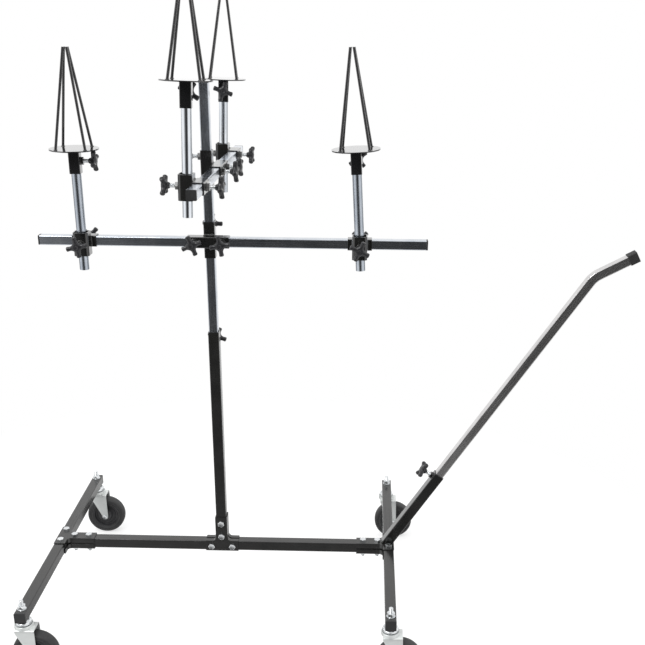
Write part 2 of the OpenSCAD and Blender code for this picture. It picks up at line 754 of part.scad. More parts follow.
left_leg();
right_leg();
main_beam();
outer_mast();
handle_socket();
joint_plates();
frame_bolts();
leg_end_caps();
caster_stems();
swivel_bearings();
fork_front_left();
fork_front_right();
fork_back_left();
fork_back_right();
wheel_front_left();
wheel_front_right();
wheel_back_left();
wheel_back_right();
inner_mast();
mast_cap();
lower_mast_clamp();
upper_mast_clamp();
lower_bar();
upper_bar();
lower_bar_caps();
upper_bar_caps();
left_post_clamp();
right_post_clamp();
front_post_clamp();
back_post_clamp();
left_post();
right_post();
front_post();
back_post();
left_rim_holder();
right_rim_holder();
front_rim_holder();
back_rim_holder();
handle_tube();
handle_cap();
knob_mast_lock();
knob_handle();
knob_lower_mast();
knob_lower_bar_a();
knob_lower_bar_b();
knob_upper_mast();
knob_upper_bar_a();
knob_upper_bar_b();
knob_left_post();
knob_left_bar();
knob_left_holder();
knob_right_post();
knob_right_bar();
knob_right_holder();
knob_front_post();
knob_front_bar();
knob_front_holder();
knob_back_post();
knob_back_bar();
knob_back_holder();
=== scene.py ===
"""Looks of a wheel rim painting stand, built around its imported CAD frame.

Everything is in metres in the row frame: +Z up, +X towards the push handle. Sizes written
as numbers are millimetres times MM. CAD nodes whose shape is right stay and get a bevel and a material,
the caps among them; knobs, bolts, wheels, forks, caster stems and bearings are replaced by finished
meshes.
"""
import bmesh
import bpy
import json
import math
from mathutils import Matrix, Vector

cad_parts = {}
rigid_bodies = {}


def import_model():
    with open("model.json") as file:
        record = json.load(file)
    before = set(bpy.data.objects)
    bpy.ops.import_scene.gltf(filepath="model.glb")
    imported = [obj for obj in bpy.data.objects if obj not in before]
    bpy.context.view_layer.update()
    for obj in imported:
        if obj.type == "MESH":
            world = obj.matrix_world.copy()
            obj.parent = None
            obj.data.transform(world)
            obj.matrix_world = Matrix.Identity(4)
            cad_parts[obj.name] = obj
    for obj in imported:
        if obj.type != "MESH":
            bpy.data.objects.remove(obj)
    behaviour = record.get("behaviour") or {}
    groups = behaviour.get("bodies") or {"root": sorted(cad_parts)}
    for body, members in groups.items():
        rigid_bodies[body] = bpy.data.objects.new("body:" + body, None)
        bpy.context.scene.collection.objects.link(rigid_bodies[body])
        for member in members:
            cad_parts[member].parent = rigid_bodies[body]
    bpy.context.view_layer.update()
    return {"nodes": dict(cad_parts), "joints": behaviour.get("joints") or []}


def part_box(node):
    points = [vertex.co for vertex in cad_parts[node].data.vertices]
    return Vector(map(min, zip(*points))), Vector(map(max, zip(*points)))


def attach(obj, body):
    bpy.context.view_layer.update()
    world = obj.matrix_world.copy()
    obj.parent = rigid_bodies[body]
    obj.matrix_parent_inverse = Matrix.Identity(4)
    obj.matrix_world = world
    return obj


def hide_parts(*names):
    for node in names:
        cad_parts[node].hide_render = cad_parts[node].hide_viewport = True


MM = 0.001
TURN = 2 * math.pi
SAME_PLACE = 0.002 * MM   # vertices closer than this are one vertex
SIDES = ("left", "right", "front", "back")
SQUARE = ((-1, -1), (1, -1), (1, 1), (-1, 1))

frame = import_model()
nodes = frame["nodes"]
joints = {joint["name"]: joint for joint in frame["joints"]}


# ------------------------------------------------------------------ materials

def add_node(tree, kind, inputs=None, **settings):
    """A shader node with its settings and its unlinked inputs filled in."""
    made = tree.nodes.new(kind)
    for name, value in settings.items():
        setattr(made, name, value)
    for name, value in (inputs or {}).items():
        made.inputs[name].default_value = value
    return made


def stretched_place(tree, along, shrink):
    """Object coordinates squeezed along a direction, so that noise runs in streaks that way."""
    link = tree.links.new
    place = add_node(tree, "ShaderNodeTexCoord")
    axis = tuple(Vector(along).normalized())
    dot = add_node(tree, "ShaderNodeVectorMath", {1: axis}, operation="DOT_PRODUCT")
    link(place.outputs["Object"], dot.inputs[0])
    scaled = add_node(tree, "ShaderNodeVectorMath", {0: axis}, operation="SCALE")
    factor = add_node(tree, "ShaderNodeMath", {1: 1 - shrink}, operation="MULTIPLY")
    link(dot.outputs["Value"], factor.inputs[0])
    link(factor.outputs[0], scaled.inputs["Scale"])
    result = add_node(tree, "ShaderNodeVectorMath", operation="SUBTRACT")
    link(place.outputs["Object"], result.inputs[0])
    link(scaled.outputs[0], result.inputs[1])
    return result.outputs[0]


def noise(tree, place, scale, detail=3.0, roughness=0.55):
    """Noise with features about 1 / scale metres wide."""
    made = add_node(tree, "ShaderNodeTexNoise", {"Scale": scale, "Detail": detail, "Roughness": roughness})
    tree.links.new(place, made.inputs["Vector"])
    return made.outputs["Fac"]


def spread(tree, value, low, high):
    """Maps the middle of a noise's range on to low to high."""
    span = {"From Min": 0.3, "From Max": 0.7, "To Min": low, "To Max": high}
    made = add_node(tree, "ShaderNodeMapRange", span)
    tree.links.new(value, made.inputs["Value"])
    return made.outputs["Result"]


def mixed_colour(tree, factor, dark, light):
    made = add_node(tree, "ShaderNodeMix", data_type="RGBA")
    made.inputs["A"].default_value = (*dark, 1)
    made.inputs["B"].default_value = (*light, 1)
    tree.links.new(factor, made.inputs["Factor"])
    return made.outputs["Result"]


def bump(tree, height, depth, shader):
    """Surface relief of a depth in metres."""
    made = add_node(tree, "ShaderNodeBump", {"Strength": 1.0, "Distance": depth})
    tree.links.new(height, made.inputs["Height"])
    tree.links.new(made.outputs["Normal"], shader.inputs["Normal"])


def new_material(name):
    material = bpy.data.materials.new(name)
    material.use_nodes = True
    tree = material.node_tree
    shader = next(n for n in tree.nodes if n.type == "BSDF_PRINCIPLED")
    return material, tree, shader


def black_paint(name, dark, light, shine, coat, peel=0.00006):
    """Sprayed gloss paint over steel: orange peel, slightly uneven shine and a clear top layer."""
    material, tree, shader = new_material(name)
    link = tree.links.new
    place = add_node(tree, "ShaderNodeTexCoord").outputs["Object"]
    blotches = noise(tree, place, 25, 4)
    link(mixed_colour(tree, spread(tree, blotches, 0, 1), dark, light), shader.inputs["Base Color"])
    link(spread(tree, noise(tree, place, 40, 3), shine * 0.88, shine * 1.15), shader.inputs["Roughness"])
    shader.inputs["Specular IOR Level"].default_value = 0.5
    shader.inputs["Coat Weight"].default_value = coat
    shader.inputs["Coat Roughness"].default_value = shine / 2
    bump(tree, noise(tree, place, 650, 2), peel, shader)
    return material


def plated_metal(name, along, dark, light, shine, streak=1.0, metallic=1.0):
    """Bright zinc plating with drawing lines along the tube, faint cloudy patches and a bluish cast."""
    material, tree, shader = new_material(name)
    link = tree.links.new
    lines = noise(tree, stretched_place(tree, along, 0.01), 900, 4)
    place = add_node(tree, "ShaderNodeTexCoord").outputs["Object"]
    clouds = noise(tree, place, 18, 5, 0.6)
    link(mixed_colour(tree, spread(tree, clouds, 0, 1), dark, light), shader.inputs["Base Color"])
    rough = add_node(tree, "ShaderNodeMath", {1: shine}, operation="ADD")
    link(spread(tree, lines, -0.05 * streak, 0.07 * streak), rough.inputs[0])
    link(rough.outputs[0], shader.inputs["Roughness"])
    shader.inputs["Metallic"].default_value = metallic
    bump(tree, lines, 0.000015 * streak, shader)
    return material


def moulded(name, dark, light, shine, grain, depth):
    """Moulded plastic or rubber with a fine grain."""
    material, tree, shader = new_material(name)
    link = tree.links.new
    place = add_node(tree, "ShaderNodeTexCoord").outputs["Object"]
    patches = noise(tree, place, 60, 4)
    link(mixed_colour(tree, spread(tree, patches, 0, 1), dark, light), shader.inputs["Base Color"])
    link(spread(tree, noise(tree, place, 250, 3), shine - 0.07, shine + 0.07), shader.inputs["Roughness"])
    bump(tree, noise(tree, place, grain, 2), depth, shader)
    return material


HANDLE_AXIS = joints["handle_slide"]["axis"]
UPPER_BAR_AXIS = joints["upper_bar_slide"]["axis"]
PAINT = black_paint("black_paint", (0.011, 0.011, 0.0105), (0.019, 0.0185, 0.018), 0.23, 0.35)
CLAMP_PAINT = black_paint("clamp_paint", (0.006, 0.006, 0.006), (0.012, 0.012, 0.011), 0.20, 0.9, 0.00003)
ROD_PAINT = black_paint("rod_paint", (0.008, 0.008, 0.009), (0.014, 0.014, 0.015), 0.15, 1.0, 0.000008)
ZINC_DARK = (0.50, 0.54, 0.60)
ZINC_LIGHT = (0.68, 0.71, 0.76)
ZINC = {
    "x": plated_metal("zinc_along_x", (1, 0, 0), ZINC_DARK, ZINC_LIGHT, 0.18),
    "y": plated_metal("zinc_along_y", UPPER_BAR_AXIS, ZINC_DARK, ZINC_LIGHT, 0.18),
    "z": plated_metal("zinc_along_z", (0, 0, 1), ZINC_DARK, ZINC_LIGHT, 0.18),
    "handle": plated_metal("zinc_along_handle", HANDLE_AXIS, (0.54, 0.53, 0.53), (0.70, 0.69, 0.69), 0.22),
}
CHROME = plated_metal("post_chrome", (0, 0, 1), (0.70, 0.74, 0.79), (0.82, 0.85, 0.89), 0.12, 0.5)
# darker copy of the post chrome for the left and right posts: painted shade
SHADED_POST_CHROME = plated_metal("dull_post_chrome", (0, 0, 1), (0.40, 0.44, 0.50), (0.54, 0.58, 0.63), 0.24)
BRIGHT_ZINC = plated_metal("bright_zinc", (0, 0, 1), (0.66, 0.68, 0.70), (0.86, 0.88, 0.89), 0.24, 0.8)
FORK_ZINC = plated_metal("fork_zinc", (0, 0, 1), (0.74, 0.77, 0.76), (0.86, 0.88, 0.87), 0.38, 0.8, 0.5)
TYRE = moulded("tyre_rubber", (0.022, 0.022, 0.023), (0.036, 0.036, 0.037), 0.55, 700, 0.00008)
HUB = moulded("hub_plastic", (0.026, 0.026, 0.028), (0.042, 0.042, 0.045), 0.40, 900, 0.00004)
KNOB = moulded("knob_plastic", (0.015, 0.015, 0.017), (0.028, 0.028, 0.031), 0.30, 1400, 0.00005)
CAP = moulded("cap_plastic", (0.016, 0.016, 0.017), (0.026, 0.026, 0.027), 0.42, 1400, 0.00005)
GRIP = moulded("cap_rubber", (0.012, 0.012, 0.012), (0.022, 0.022, 0.022), 0.60, 1100, 0.0001)


# ------------------------------------------------------------------ mesh helpers

def mesh_object(name, mesh, material, body, matrix=None):
    """A piece that rides on a body. A shared mesh keeps its first material."""
    piece = bpy.data.objects.new(name, mesh)
    bpy.context.scene.collection.objects.link(piece)
    if matrix is not None:
        piece.matrix_world = matrix
    if not mesh.materials:
        mesh.materials.append(material)
    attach(piece, body)
    return piece


def finish_mesh(bm, name, smooth_angle=35):
    """Turns a bmesh into a closed, outward-facing mesh that is smooth up to an angle."""
    bmesh.ops.recalc_face_normals(bm, faces=bm.faces)
    for face in bm.faces:
        face.smooth = True
    limit = math.radians(smooth_angle)
    for edge in bm.edges:
        edge.smooth = len(edge.link_faces) == 2 and edge.calc_face_angle(0) < limit
    mesh = bpy.data.meshes.new(name)
    bm.to_mesh(mesh)
    bm.free()
    return mesh


def skin(bm, low, high):
    """Faces between two equally long rings of vertices."""
    count = len(low)
    for i in range(count):
        j = (i + 1) % count
        bm.faces.new((low[i], low[j], high[j], high[i]))


def move_rows(bm, rows, matrix):
    bmesh.ops.transform(bm, matrix=matrix, verts=[vert for row in rows for vert in row])


def add_rings(bm, rings, matrix=Matrix.Identity(4)):
    """Skins a list of equally long rings of points and closes the first and last one."""
    rows = [[bm.verts.new(point) for point in ring] for ring in rings]
    for low, high in zip(rows, rows[1:]):
        skin(bm, low, high)
    bm.faces.new(list(reversed(rows[0])))
    bm.faces.new(rows[-1])
    move_rows(bm, rows, matrix)


def circle_points(radius, z, count):
    """Points round the Z axis. radius and z are numbers, or functions of the angle."""
    points = []
    for i in range(count):
        angle = TURN * i / count
        r = radius(angle) if callable(radius) else radius
        height = z(angle) if callable(z) else z
        points.append(Vector((r * math.cos(angle), r * math.sin(angle), height)))
    return points


def add_lathe(bm, profile, count=48, matrix=Matrix.Identity(4)):
    """Turns a closed profile of (radius, z) points round the Z axis."""
    rows = [[bm.verts.new(point) for point in circle_points(r, z, count)] for r, z in profile]
    for low, high in zip(rows, rows[1:] + rows[:1]):
        skin(bm, low, high)
    move_rows(bm, rows, matrix)


def add_solid_lathe(bm, profile, count=32, matrix=Matrix.Identity(4)):
    """Turns an open profile that starts and ends at the ends of a solid bar."""
    add_rings(bm, [circle_points(r, z, count) for r, z in profile], matrix)


def hex_radius(across_flats):
    """Distance from the axis to a hexagon's side, as a function of the angle."""
    def radius(angle):
        sixth = math.pi / 3
        return across_flats / 2 / math.cos((angle + sixth / 2) % sixth - sixth / 2)
    return radius


def add_hexagon(bm, across_flats, low, high, matrix, both_ends=False):
    """Hexagonal head or nut with its corners turned down to a circle on the outer face."""
    side = hex_radius(across_flats)
    flat = across_flats / 2 * 0.96
    slope = math.tan(math.radians(30))
    dish = 0.12 * MM

    def upper(angle):
        return high - (side(angle) - flat) * slope

    def lower(angle):
        return low + (side(angle) - flat) * slope

    count = 36
    rings = []
    if both_ends:
        rings.append(circle_points(flat, low, count))
        rings.append(circle_points(side, lower, count))
    else:
        rings.append(circle_points(side, low, count))
    rings.append(circle_points(side, upper, count))
    rings.append(circle_points(flat, high, count))
    rings.append(circle_points(flat * 0.93, high - dish, count))
    add_rings(bm, rings, matrix)


def add_thread(bm, radius, low, high, pitch, matrix, count=20):
    """Bar with a helical thread cut in it and chamfered ends."""
    blunt = 0.6 * MM
    depth = pitch * 0.45
    steps = max(3, int(round((high - low) / (pitch / 4))))

    def thread_radius(z):
        def radius_at(angle):
            phase = (z / pitch - angle / TURN) % 1
            cut = depth * abs(2 * phase - 1)
            ends = max(0.0, blunt - min(z - low, high - z))
            return radius - max(cut, ends)
        return radius_at

    rings = []
    for step in range(steps + 1):
        z = low + (high - low) * step / steps
        rings.append(circle_points(thread_radius(z), z, count))
    add_rings(bm, rings, matrix)


def frame_matrix(place, up, ahead):
    """Frame at a place with +Z on one direction and +X on another that is square to it."""
    z = Vector(up).normalized()
    x = Vector(ahead).normalized()
    basis = Matrix((x, z.cross(x), z)).transposed()
    return Matrix.Translation(Vector(place)) @ basis.to_4x4()


def axis_matrix(place, axis, turn=0.0):
    """Puts local +Z on an axis through a place."""
    rotation = Vector((0, 0, 1)).rotation_difference(Vector(axis)).to_matrix().to_4x4()
    return Matrix.Translation(Vector(place)) @ rotation @ Matrix.Rotation(turn, 4, "Z")


def add_bead(bm, path, radius, ripple=2.2 * MM, seed=0.0):
    """Weld bead: a rippled ridge along a path of points."""
    points = []
    for a, b in zip(path, path[1:]):
        length = (b - a).length
        steps = max(1, int(length / (ripple / 3)))
        points += [a.lerp(b, i / steps) for i in range(steps)]
    points.append(path[-1])
    loop = (path[0] - path[-1]).length < SAME_PLACE
    if loop:
        points.pop()
    count = len(points)
    corners = 8
    rings = []
    travelled = seed
    for i, point in enumerate(points):
        after = points[(i + 1) % count] if loop or i + 1 < count else point
        before = points[i - 1] if loop or i > 0 else point
        direction = (after - before).normalized()
        across = direction.orthogonal().normalized()
        up = direction.cross(across)
        travelled += (point - before).length
        # even ripples with a slower unevenness on top; the ends of an open bead taper off
        swell = 1 + 0.16 * math.sin(TURN * travelled / ripple) + 0.10 * math.sin(travelled * 410)
        if not loop:
            swell *= min(1.0, 0.45 + 0.25 * min(i, count - 1 - i))
        ring = []
        for k in range(corners):
            angle = TURN * k / corners
            ring.append(point + (across * math.cos(angle) + up * math.sin(angle)) * radius * swell)
        rings.append(ring)
    if not loop:
        add_rings(bm, rings)
        return
    rows = [[bm.verts.new(point) for point in ring] for ring in rings]
    for low, high in zip(rows, rows[1:] + rows[:1]):
        shift = nearest_shift(low, high)
        skin(bm, low, high[shift:] + high[:shift])


def nearest_shift(low, high):
    """How far to turn one ring's numbering so that it lines up with the ring before it."""
    count = len(low)

    def mismatch(shift):
        return sum((low[k].co - high[(k + shift) % count].co).length for k in range(count))

    return min(range(count), key=mismatch)


# ------------------------------------------------------------------ CAD nodes that stay

def dress(name, material, bevel, segments=2):
    """Gives a CAD node a material, joins its split edges and softens its corners."""
    node = nodes[name]
    mesh = node.data
    if "custom_normal" in mesh.attributes:
        mesh.attributes.remove(mesh.attributes["custom_normal"])
    mesh.materials.clear()
    mesh.materials.append(material)
    for polygon in mesh.polygons:
        polygon.use_smooth = True
    weld = node.modifiers.new("weld", "WELD")
    weld.merge_threshold = SAME_PLACE
    soft = node.modifiers.new("bevel", "BEVEL")
    soft.width = bevel
    soft.segments = segments
    soft.limit_method = "ANGLE"
    soft.angle_limit = math.radians(40)
    soft.use_clamp_overlap = True
    shade = node.modifiers.new("normals", "WEIGHTED_NORMAL")
    shade.keep_sharp = True


for name in ("left_leg", "right_leg", "main_beam", "outer_mast", "joint_plates"):
    dress(name, PAINT, 0.4 * MM)
for name in ("handle_socket", "lower_mast_clamp", "upper_mast_clamp"):
    dress(name, CLAMP_PAINT, 0.4 * MM)
for side in SIDES:
    dress(side + "_post_clamp", CLAMP_PAINT, 0.5 * MM)
    dress(side + "_rim_holder", ROD_PAINT, 0.4 * MM)
    # the left and right posts take the darker copy of the chrome: painted shade
    dress(side + "_post", CHROME if side in ("front", "back") else SHADED_POST_CHROME, 0.3 * MM)
dress("inner_mast", ZINC["z"], 0.3 * MM)
dress("lower_bar", ZINC["x"], 0.3 * MM)
dress("upper_bar", ZINC["y"], 0.3 * MM)
dress("handle_tube", ZINC["handle"], 0.3 * MM)
for name in ("leg_end_caps", "mast_cap", "lower_bar_caps", "upper_bar_caps"):
    dress(name, CAP, 0.9 * MM, 3)
dress("handle_cap", GRIP, 1.6 * MM, 3)


# ------------------------------------------------------------------ clamp knobs

KNOB_FOOT = 21 * MM       # underside of the plastic above the welded nut's seat
SCREW_R = 5 * MM
SCREW_PITCH = 1.5 * MM


def add_square_steps(bm, ring, steps):
    """Joins squares of (half width, height) in millimetres on to a ring and closes the last one."""
    for width, z in steps:
        after = [bm.verts.new(Vector((sx * width, sy * width, z)) * MM) for sx, sy in SQUARE]
        skin(bm, ring, after)
        ring = after
    bm.faces.new(ring)


def star_cage():
    """Control cage of a four-armed knob; subdivision rounds it. +Z points away from the tube."""
    bm = bmesh.new()
    half = 9.2 * MM
    low = 27.8 * MM
    high = 41.6 * MM
    corner = {}
    for sx, sy in SQUARE:
        for level, z in (("low", low), ("high", high)):
            corner[sx, sy, level] = bm.verts.new((sx * half, sy * half, z))
    # arm sections: distance out, half width, height of the under side and of the upper side
    sections = (
        (14.5, 6.3, 28.0, 41.2), (20.0, 6.2, 28.8, 42.0),
        (24.0, 7.3, 28.6, 43.0), (27.8, 6.0, 30.2, 42.2),
    )
    for quarter in range(4):
        turn = Matrix.Rotation(quarter * TURN / 4, 3, "Z")
        ends = [turn @ Vector((1, side, 0)) for side in (-1, 1)]
        near = [(round(end.x), round(end.y)) for end in ends]
        ring = [corner[near[0] + ("low",)], corner[near[1] + ("low",)],
                corner[near[1] + ("high",)], corner[near[0] + ("high",)]]
        for out, width, under, upper in sections:
            spots = ((-width, under), (width, under), (width, upper), (-width, upper))
            after = [bm.verts.new(turn @ Vector((out, y, z)) * MM) for y, z in spots]
            skin(bm, ring, after)
            ring = after
        bm.faces.new(ring)
    neck = ((9.0, 25.5), (7.2, 22.5), (6.7, 21.3), (6.2, 20.9))
    add_square_steps(bm, [corner[c + ("low",)] for c in SQUARE], neck)
    dish = ((5.2, 41.9), (4.2, 40.6))
    add_square_steps(bm, [corner[c + ("high",)] for c in SQUARE], dish)
    return finish_mesh(bm, "star_knob", 180)


def arm_angle(node, matrix):
    """Angle of a CAD knob's arm about its own axis."""
    inverse = matrix.inverted()
    farthest = max((inverse @ v.co for v in node.data.vertices), key=lambda p: p.x * p.x + p.y * p.y)
    return math.atan2(farthest.y, farthest.x)


def inner_reach(node, matrix):
    """How far a CAD screw reaches below its nut's seat."""
    inverse = matrix.inverted()
    return -min((inverse @ v.co).z for v in node.data.vertices)


def clamp_screw(reach):
    """Threaded screw that reaches a distance below its nut's seat and ends inside the knob."""
    inside = 2 * MM
    bm = bmesh.new()
    add_thread(bm, SCREW_R, -reach, KNOB_FOOT + inside, SCREW_PITCH, Matrix.Identity(4))
    return finish_mesh(bm, "clamp_screw", 60)


def clamp_knobs():
    """A star grip and its screw on every knob's own turning axis."""
    star_mesh = star_cage()
    screws = {}
    for joint in frame["joints"]:
        name = joint["child"]
        if not name.startswith("knob_"):
            continue
        seat = axis_matrix(joint["pos_m"], joint["axis"])
        turn = arm_angle(nodes[name], seat)
        reach = round(inner_reach(nodes[name], seat), 5)
        if reach not in screws:
            screws[reach] = clamp_screw(reach)
        place = seat @ Matrix.Rotation(turn, 4, "Z")
        grip = mesh_object(name + "_grip", star_mesh, KNOB, name, place)
        rounding = grip.modifiers.new("rounding", "SUBSURF")
        rounding.levels = 2
        rounding.render_levels = 2
        mesh_object(name + "_screw", screws[reach], BRIGHT_ZINC, name, seat)
        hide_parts(name)


clamp_knobs()


# ------------------------------------------------------------------ frame bolts

def bolt_places():
    """Places, directions and lengths of the frame bolts, read from the CAD bolts."""
    shortest = 30 * MM
    bm = bmesh.new()
    bm.from_mesh(nodes["frame_bolts"].data)
    bmesh.ops.remove_doubles(bm, verts=bm.verts, dist=0.01 * MM)
    groups = []
    left = set(bm.verts)
    while left:
        stack = [left.pop()]
        group = []
        while stack:
            vert = stack.pop()
            group.append(vert.co.copy())
            for edge in vert.link_edges:
                other = edge.other_vert(vert)
                if other in left:
                    left.remove(other)
                    stack.append(other)
        groups.append(group)
    bm.free()
    places = []
    for group in groups:
        low = Vector([min(p[i] for p in group) for i in range(3)])
        high = Vector([max(p[i] for p in group) for i in range(3)])
        size = high - low
        if max(size) < shortest:
            continue
        middle = (low + high) / 2
        if size.z > size.y:
            places.append((Vector((middle.x, middle.y, high.z)), Vector((0, 0, 1)), size.z))
        else:
            places.append((Vector((middle.x, low.y, middle.z)), Vector((0, -1, 0)), size.y))
    return sorted(places, key=lambda place: [round(value, 4) for value in place[0]])


def frame_bolts():
    """Bolts, nuts and threads. The threads stand a little further out than the CAD's."""
    bm = bmesh.new()
    radius = 5 * MM
    head = 6.4 * MM
    nut = 8 * MM
    cad_tail = 3 * MM
    longer = 4 * MM
    flats = 17 * MM
    overlap = 2 * MM
    for index, (top, axis, length) in enumerate(bolt_places()):
        matrix = axis_matrix(top, axis, 0.37 * index)
        add_hexagon(bm, flats, -head, 0, matrix)
        turned_over = axis_matrix(top, axis, 1.1 + 0.53 * index) @ Matrix.Rotation(math.pi, 4, "X")
        nut_face = length - cad_tail
        add_hexagon(bm, flats, nut_face - nut, nut_face, turned_over, True)
        shank = [(radius, head - overlap / 2), (radius, nut_face - overlap)]
        add_solid_lathe(bm, shank, 24, turned_over)
        add_thread(bm, radius, nut_face - overlap, length + longer, SCREW_PITCH, turned_over)
    piece = mesh_object("bolts", finish_mesh(bm, "bolts"), BRIGHT_ZINC, "frame")
    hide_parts("frame_bolts")


frame_bolts()


# ------------------------------------------------------------------ casters

CASTERS = ("front_left", "front_right", "back_left", "back_right")
HUB_HALF = 20.5 * MM      # half of the hub's width
TREAD_HALF = 18 * MM
TYRE_BORE = 42 * MM
BOSS_R = 20 * MM
BUSH_R = 6 * MM
FORK_HALF = 24 * MM       # half of the fork's outside width
FORK_TOP = 143 * MM
AXLE_X = 25 * MM          # from the swivel axis to the wheel axle
AXLE_Z = 62.5 * MM


def tyre_profile(radius, bore, half):
    """Closed (radius, z) outline of the tyre: crowned tread, round shoulders and rings on its sides."""
    crown = 1.6 * MM
    shoulder = 6 * MM
    tread = half * 0.72
    upper = []
    for i in range(5):
        angle = math.pi * i / 8
        upper.append((radius - crown * (1 - math.cos(angle)), tread * math.sin(angle)))
    for i in range(1, 7):
        angle = math.pi * i / 12
        r = radius - crown - shoulder * (1 - math.cos(angle))
        upper.append((r, tread + (half - tread) * math.sin(angle)))
    ring = radius - 10 * MM
    grooves = ((0, 0), (0.8, 0.9), (2.0, 0.9), (2.8, 0), (5.2, 0), (6.0, 1.0), (7.4, 1.4))
    for drop, depth in grooves:
        upper.append((ring - drop * MM, half - depth * MM))
    upper.append((bore + 0.6 * MM, half - 3.2 * MM))
    upper.append((bore, half - 3.8 * MM))
    return upper + [(r, -z) for r, z in reversed(upper[1:])]


def hub_profile(rim, bore, boss, half, width):
    """Closed outline of the plastic hub: boss, dished web with rings, and rim seat."""
    side = [
        (rim, half - 4.0 * MM), (rim - 1.0 * MM, half - 2.8 * MM), (rim - 3.2 * MM, half - 2.8 * MM),
        (rim - 4.0 * MM, half - 4.2 * MM), (rim - 5.4 * MM, 8.2 * MM), (rim - 7.2 * MM, 7.2 * MM),
        (rim - 9.0 * MM, 7.2 * MM), (rim - 9.8 * MM, 8.6 * MM), (rim - 11.4 * MM, 8.6 * MM),
        (rim - 12.2 * MM, 7.2 * MM), (boss + 4.5 * MM, 7.2 * MM), (boss + 2.2 * MM, 8.6 * MM),
        (boss, 13.5 * MM), (boss - 3 * MM, width - 3.0 * MM), (boss - 6.5 * MM, width - 1.2 * MM),
        (boss - 8.5 * MM, width - 1.2 * MM), (boss - 9.0 * MM, width), (bore, width),
    ]
    return side + [(r, -z) for r, z in reversed(side)]


def tyre_and_hub():
    """The two meshes that all four wheels share, turned about +Z."""
    low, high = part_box("wheel_" + CASTERS[0])
    radius = (high.z - low.z) / 2
    bm = bmesh.new()
    add_lathe(bm, tyre_profile(radius, TYRE_BORE, TREAD_HALF), 96)
    tyre = finish_mesh(bm, "tyre", 40)
    bm = bmesh.new()
    add_lathe(bm, hub_profile(TYRE_BORE - 0.1 * MM, BUSH_R + 0.1 * MM, BOSS_R, TREAD_HALF, HUB_HALF), 72)
    return tyre, finish_mesh(bm, "hub", 32)


def wheels():
    tyre_mesh, hub_mesh = tyre_and_hub()
    for corner in CASTERS:
        body = "wheel_" + corner
        joint = joints["spin_" + corner]
        place = axis_matrix(joint["pos_m"], joint["axis"])
        tyre = mesh_object(body + "_tyre", tyre_mesh, TYRE, body, place)
        mesh_object(body + "_hub", hub_mesh, HUB, body, place)
        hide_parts(body)


def fork_sheet(bm, matrix):
    """Pressed fork: one sheet bent over the top, its sides tapering to a round end at the axle."""
    outer = FORK_HALF
    top = FORK_TOP
    bend = 5 * MM
    sheet = 2.5 * MM
    axle = Vector((AXLE_X, AXLE_Z))
    top_back = -20 * MM
    top_front = 33 * MM
    shoulder = Vector((-19.5 * MM, 135 * MM))
    end_r = 9.5 * MM
    heights = [axle.y - end_r * math.cos(math.radians(a)) for a in (0, 12, 25, 40, 55, 70, 90, 115, 140)]
    heights += [78 * MM, 90 * MM, 102 * MM, 113 * MM, 124 * MM, 132 * MM]

    def reach(z):
        """Back and front edge of a side plate at a height."""
        if z < axle.y:
            half = math.sqrt(max(0.0, end_r ** 2 - (axle.y - z) ** 2))
            return axle.x - half, axle.x + half
        front = axle.x + end_r + (top_front - axle.x - end_r) * (z - axle.y) / (top - axle.y)
        if z > shoulder.y:
            back = shoulder.x + (top_back - shoulder.x) * (z - shoulder.y) / (top - shoulder.y)
        else:
            share = (z - axle.y) / (shoulder.y - axle.y)
            straight = (axle.x - end_r * 0.86) + (shoulder.x - axle.x + end_r * 0.86) * share
            back = min(straight, axle.x - math.sqrt(max(0.0, end_r ** 2 - (z - axle.y) ** 2)))
        return back, front

    path = [(outer, z) for z in heights]
    for i in range(7):
        angle = math.pi / 2 * i / 6
        y = outer - bend + bend * math.cos(angle)
        z = top - bend + bend * math.sin(angle)
        path.append((y, z))
    path = path + [(-y, z) for y, z in reversed(path)]
    across = 8
    rows = []
    for index, (y, z) in enumerate(path):
        back, front = reach(min(z, top))
        before = Vector(path[max(index - 1, 0)])
        after = Vector(path[min(index + 1, len(path) - 1)])
        along = (after - before).normalized()
        inward = Vector((-along.y, along.x))
        row = []
        for k in range(across + 1):
            x = back + (front - back) * k / across
            row.append((bm.verts.new((x, y, z)),
                        bm.verts.new((x, y + inward.x * sheet, z + inward.y * sheet))))
        rows.append(row)
    for low, high in zip(rows, rows[1:]):
        for k in range(across):
            bm.faces.new((low[k][0], low[k + 1][0], high[k + 1][0], high[k][0]))
            bm.faces.new((low[k + 1][1], low[k][1], high[k][1], high[k + 1][1]))
        for k in (0, across):
            bm.faces.new((low[k][0], high[k][0], high[k][1], low[k][1]))
    for row in (rows[0], rows[-1]):
        for k in range(across):
            bm.faces.new((row[k][0], row[k][1], row[k + 1][1], row[k + 1][0]))
    bmesh.ops.remove_doubles(bm, verts=bm.verts, dist=SAME_PLACE)
    bmesh.ops.transform(bm, matrix=matrix, verts=bm.verts)


def in_metres(outline):
    """A (radius, height) outline given in millimetres."""
    return [(r * MM, z * MM) for r, z in outline]


def fork_mesh():
    """One fork, in its own frame: swivel axis on Z, floor at z = 0."""
    bm = bmesh.new()
    fork_sheet(bm, Matrix.Identity(4))
    race = [(6.1, 142.9), (24.0, 142.9), (25.0, 143.6), (25.0, 152.2), (24.4, 152.8), (23.1, 152.8),
            (22.5, 152.2), (22.5, 150.6), (21.7, 149.8), (6.1, 149.8)]
    add_lathe(bm, in_metres(race), 48)
    return finish_mesh(bm, "fork", 35)


